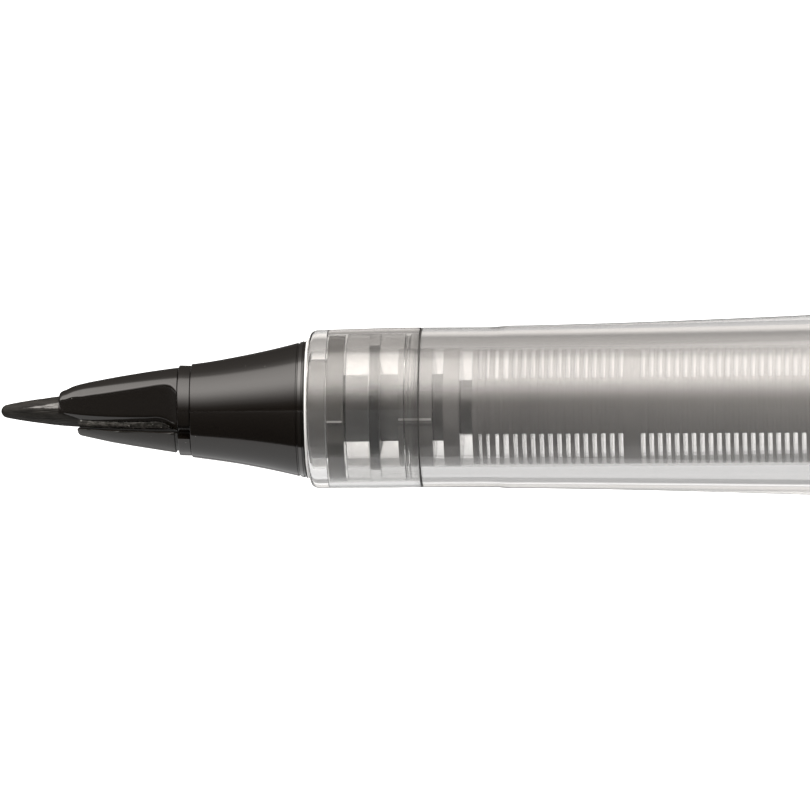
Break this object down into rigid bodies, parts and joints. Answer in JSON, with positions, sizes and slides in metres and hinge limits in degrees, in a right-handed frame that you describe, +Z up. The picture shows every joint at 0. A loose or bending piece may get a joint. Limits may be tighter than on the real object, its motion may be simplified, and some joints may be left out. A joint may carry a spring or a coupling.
{
  "type": "fibre-point pen",
  "caption": "Liquid-ink pen with a pointed fibre nib, black beak and cone, clear collar and grip over a finned ink collector, screwed barrel and clip cap put on the tail.",
  "frame": {"origin": "centre of the flat end of the cap that is put on the tail, on the pen's axis", "axes": "+X along the pen's axis, from the writing point to the cap's end; +Z up, with the hood over the nib on top; +Y across"},
  "size_m": [0.157, 0.014, 0.013],
  "materials": {
    "nib_fibre": "dense fibre, wet with black ink",
    "black_gloss": "moulded gloss",
    "feed_satin": "moulded satin",
    "clear": "clear moulded gloss with a slight haze",
    "seal_rubber": "smooth",
    "collector_black": "moulded gloss",
    "feed_fibre": "bonded fibre, wet with black ink",
    "cartridge_wall": "translucent",
    "ball_steel": "smooth",
    "plug_plastic": "moulded satin",
    "joint_black": "moulded satin",
    "liner_plastic": "moulded satin",
    "clip_steel": "satin"
  },
  "bodies": {
    "grip": {"nib": "nib_fibre", "nib_hood": "black_gloss", "nib_feed": "feed_satin", "holder_ring": "black_gloss", "front_cone": "black_gloss", "front_collar": "clear", "seal_ring": "seal_rubber", "collector": "collector_black", "feed_rod": "feed_fibre", "grip_barrel": "clear", "ink_cartridge": "cartridge_wall", "cartridge_ball": "ball_steel", "cartridge_plug": "plug_plastic"},
    "joint_ring": {"joint_ring": "joint_black"},
    "barrel": {"rear_barrel": "black_gloss", "tail_plug": "black_gloss"},
    "cap": {"cap_shell": "black_gloss", "cap_liner": "liner_plastic", "cap_crown": "black_gloss"},
    "clip": {"clip": "clip_steel"}
  },
  "joints": [
    {"name": "barrel_turn", "type": "hinge", "parent": "grip", "child": "joint_ring", "pos_m": [-0.0905, 0, 0], "axis": [1, 0, 0], "range_deg": [0, 900]},
    {"name": "barrel_advance", "type": "slide", "parent": "joint_ring", "child": "barrel", "axis": [1, 0, 0], "range_m": [0, 0.00401]},
    {"name": "cap_pull", "type": "slide", "parent": "barrel", "child": "cap", "axis": [1, 0, 0], "range_m": [0, 0.03]},
    {"name": "clip_flex", "type": "hinge", "parent": "cap", "child": "clip", "pos_m": [-0.00235, 0.00512, -0.00417], "axis": [0, -0.6312, -0.7756], "range_deg": [0, 4], "stiffness_Nm_per_rad": 0.2}
  ],
  "couplings": [
    {"joint": "barrel_advance", "follows": "barrel_turn", "m_per_rad": 0.00025465}
  ]
}
